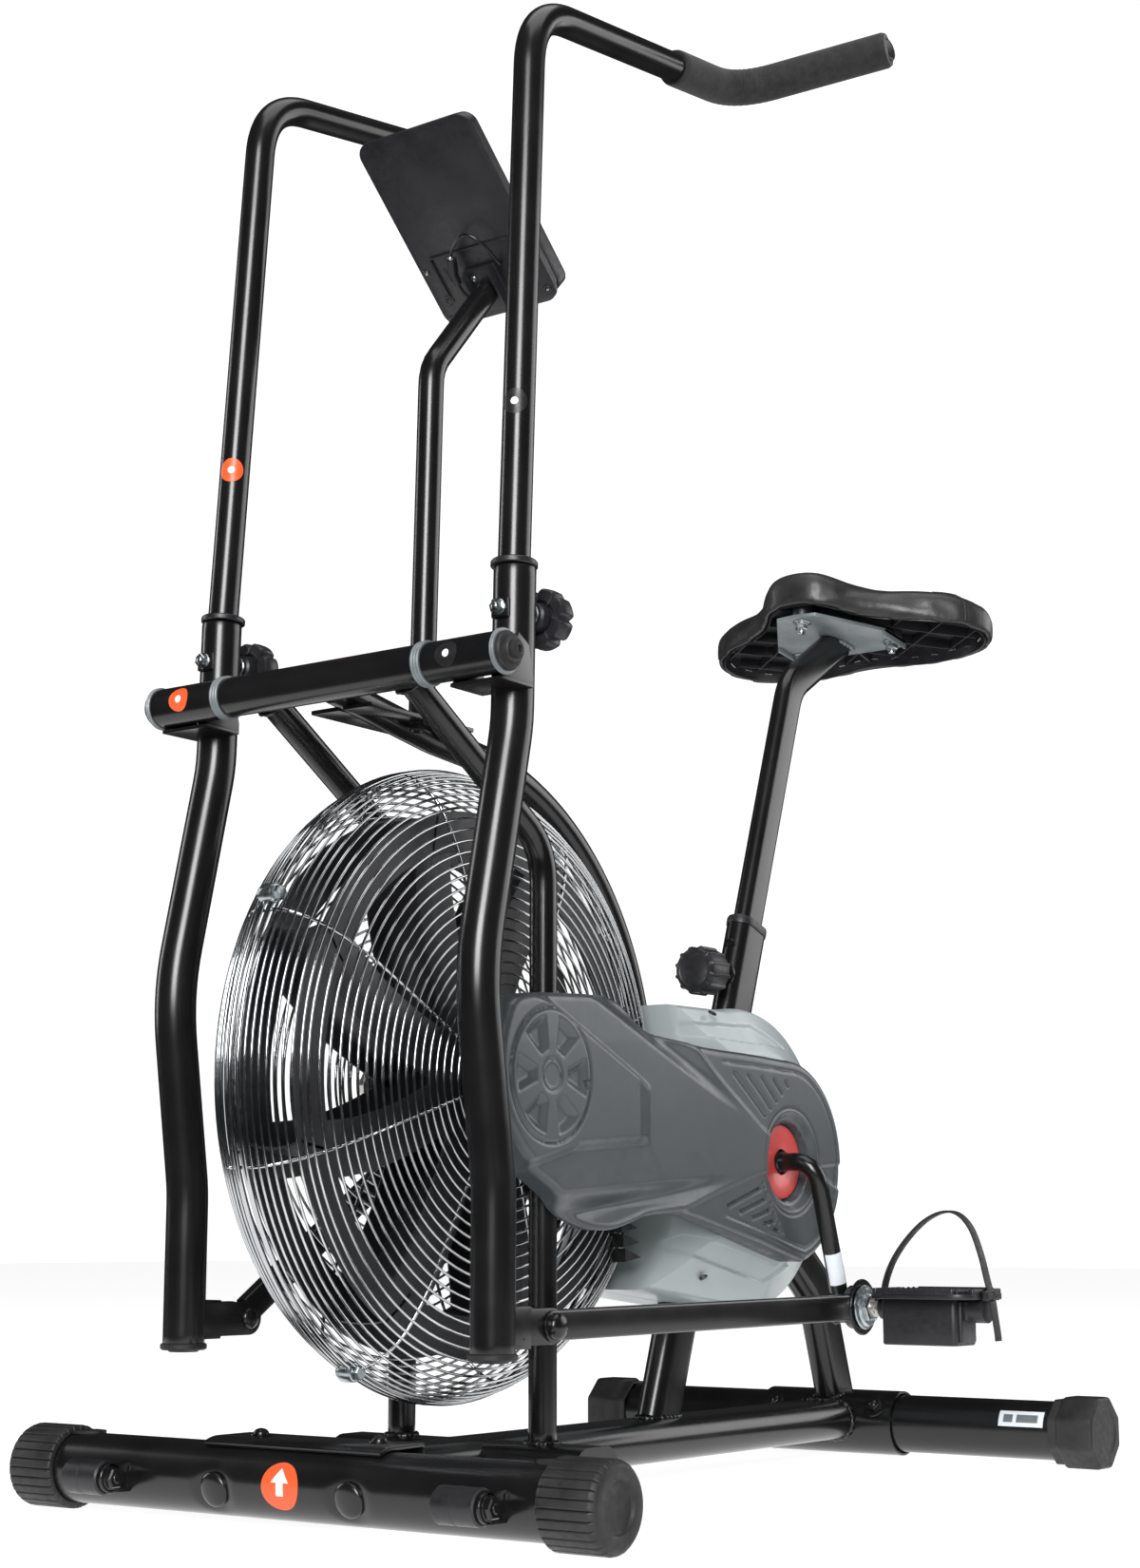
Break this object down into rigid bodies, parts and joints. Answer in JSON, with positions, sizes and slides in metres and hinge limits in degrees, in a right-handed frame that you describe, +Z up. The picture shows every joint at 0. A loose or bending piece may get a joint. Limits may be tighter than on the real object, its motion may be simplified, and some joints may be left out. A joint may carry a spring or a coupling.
{
  "type": "air bike",
  "caption": "Fan exercise bike with two swinging arms, wire-caged air fan, chain casing, straps on the pedals, padded seat on a sliding post and a tilted console.",
  "frame": {"origin": "bottom centre of the bounding box, on the floor", "axes": "+X towards the front foot, +Y towards the rider's left, +Z up"},
  "size_m": [1.07, 0.6062, 1.3498],
  "materials": {
    "paint": "semi-gloss black powder coat",
    "rubber": "matte black",
    "foam": "matte closed-cell foam",
    "chrome": "bright chrome wire",
    "zinc": "bright zinc plate",
    "light_plastic": "satin light grey",
    "dark_plastic": "satin dark grey",
    "black_plastic": "fine-grain black",
    "red_plastic": "satin red",
    "leather": "black synthetic leather"
  },
  "bodies": {
    "frame": {"front_foot": "paint", "rear_foot": "paint", "front_bolt_left": "paint", "front_bolt_right": "paint", "roller_bracket_left": "paint", "roller_bracket_right": "paint", "base_rail": "paint", "fork_left": "paint", "fork_right": "paint", "pivot_tube": "paint", "spine_tube": "paint", "gusset_plate_left": "paint", "gusset_plate_right": "paint", "console_post": "paint", "seat_tube": "paint", "rear_post": "paint", "front_cap_left": "rubber", "front_cap_right": "rubber", "rear_cap_left": "rubber", "rear_cap_right": "rubber", "cage_left": "chrome", "cage_right": "chrome", "drive_chain": "chrome", "pivot_ring_left": "zinc", "pivot_ring_right": "zinc", "casing_left": "light_plastic", "casing_right": "light_plastic", "chain_cover": "dark_plastic", "console_back": "black_plastic", "console_housing": "black_plastic", "console_lead": "black_plastic", "socket_bush": "black_plastic"},
    "fan": {"fan_wheel": "black_plastic", "fan_axle": "chrome"},
    "crank": {"crankshaft": "paint", "chainring": "zinc", "crank_disc_left": "red_plastic", "crank_disc_right": "red_plastic"},
    "pedal_left": {"pedal_left": "black_plastic", "pedal_strap_left": "rubber"},
    "pedal_right": {"pedal_right": "black_plastic", "pedal_strap_right": "rubber"},
    "arm_left": {"arm_left": "paint", "handlebar_left": "paint", "grip_left": "foam", "collar_left": "black_plastic"},
    "arm_right": {"arm_right": "paint", "handlebar_right": "paint", "grip_right": "foam", "collar_right": "black_plastic"},
    "rod_left": {"rod_left": "paint"},
    "rod_right": {"rod_right": "paint"},
    "arm_knob_left": {"arm_knob_left": "black_plastic"},
    "arm_knob_right": {"arm_knob_right": "black_plastic"},
    "seat": {"seat_post": "paint", "seat_pan": "black_plastic", "seat_cushion": "leather"},
    "seat_knob": {"seat_knob": "black_plastic"},
    "roller_left": {"roller_left": "black_plastic"},
    "roller_right": {"roller_right": "black_plastic"}
  },
  "joints": [
    {"name": "fan_spin", "type": "hinge", "parent": "frame", "child": "fan", "pos_m": [0.265, 0, 0.354], "axis": [0, 1, 0], "continuous": true},
    {"name": "crank_turn", "type": "hinge", "parent": "frame", "child": "crank", "pos_m": [-0.107, 0, 0.293], "axis": [0, 1, 0], "continuous": true},
    {"name": "pedal_left_spin", "type": "hinge", "parent": "crank", "child": "pedal_left", "pos_m": [-0.152, 0.244, 0.158], "axis": [0, 1, 0], "continuous": true},
    {"name": "pedal_right_spin", "type": "hinge", "parent": "crank", "child": "pedal_right", "pos_m": [-0.062, -0.244, 0.428], "axis": [0, 1, 0], "continuous": true},
    {"name": "arm_left_swing", "type": "hinge", "parent": "frame", "child": "arm_left", "pos_m": [0.436, 0.163, 0.676], "axis": [0, 1, 0], "range_deg": [-15, 15]},
    {"name": "arm_right_swing", "type": "hinge", "parent": "frame", "child": "arm_right", "pos_m": [0.436, -0.163, 0.676], "axis": [0, 1, 0], "range_deg": [-15, 15]},
    {"name": "rod_left_pivot", "type": "hinge", "parent": "arm_left", "child": "rod_left", "pos_m": [0.351, 0.16, 0.155], "axis": [0, 1, 0], "range_deg": [-16, 16]},
    {"name": "rod_right_pivot", "type": "hinge", "parent": "arm_right", "child": "rod_right", "pos_m": [0.351, -0.16, 0.155], "axis": [0, 1, 0], "range_deg": [-16, 16]},
    {"name": "arm_knob_left_turn", "type": "hinge", "parent": "arm_left", "child": "arm_knob_left", "pos_m": [0.345, 0.163, 0.722], "axis": [1, 0, 0], "continuous": true},
    {"name": "arm_knob_right_turn", "type": "hinge", "parent": "arm_right", "child": "arm_knob_right", "pos_m": [0.345, -0.163, 0.722], "axis": [1, 0, 0], "continuous": true},
    {"name": "seat_height", "type": "slide", "parent": "frame", "child": "seat", "axis": [-0.3304, 0, 0.9439], "range_m": [-0.08, 0.05]},
    {"name": "seat_knob_turn", "type": "hinge", "parent": "frame", "child": "seat_knob", "pos_m": [-0.135, 0, 0.484], "axis": [1, 0, 0], "continuous": true},
    {"name": "roller_left_spin", "type": "hinge", "parent": "frame", "child": "roller_left", "pos_m": [0.492, 0.196, 0.033], "axis": [0, 1, 0], "continuous": true},
    {"name": "roller_right_spin", "type": "hinge", "parent": "frame", "child": "roller_right", "pos_m": [0.492, -0.187, 0.033], "axis": [0, 1, 0], "continuous": true}
  ],
  "couplings": [
    {"joint": "crank_turn", "follows": "fan_spin", "ratio": 0.25},
    {"joint": "arm_right_swing", "follows": "arm_left_swing", "ratio": -1},
    {"joint": "rod_left_pivot", "follows": "arm_left_swing", "ratio": -1},
    {"joint": "rod_right_pivot", "follows": "arm_left_swing", "ratio": 1}
  ]
}
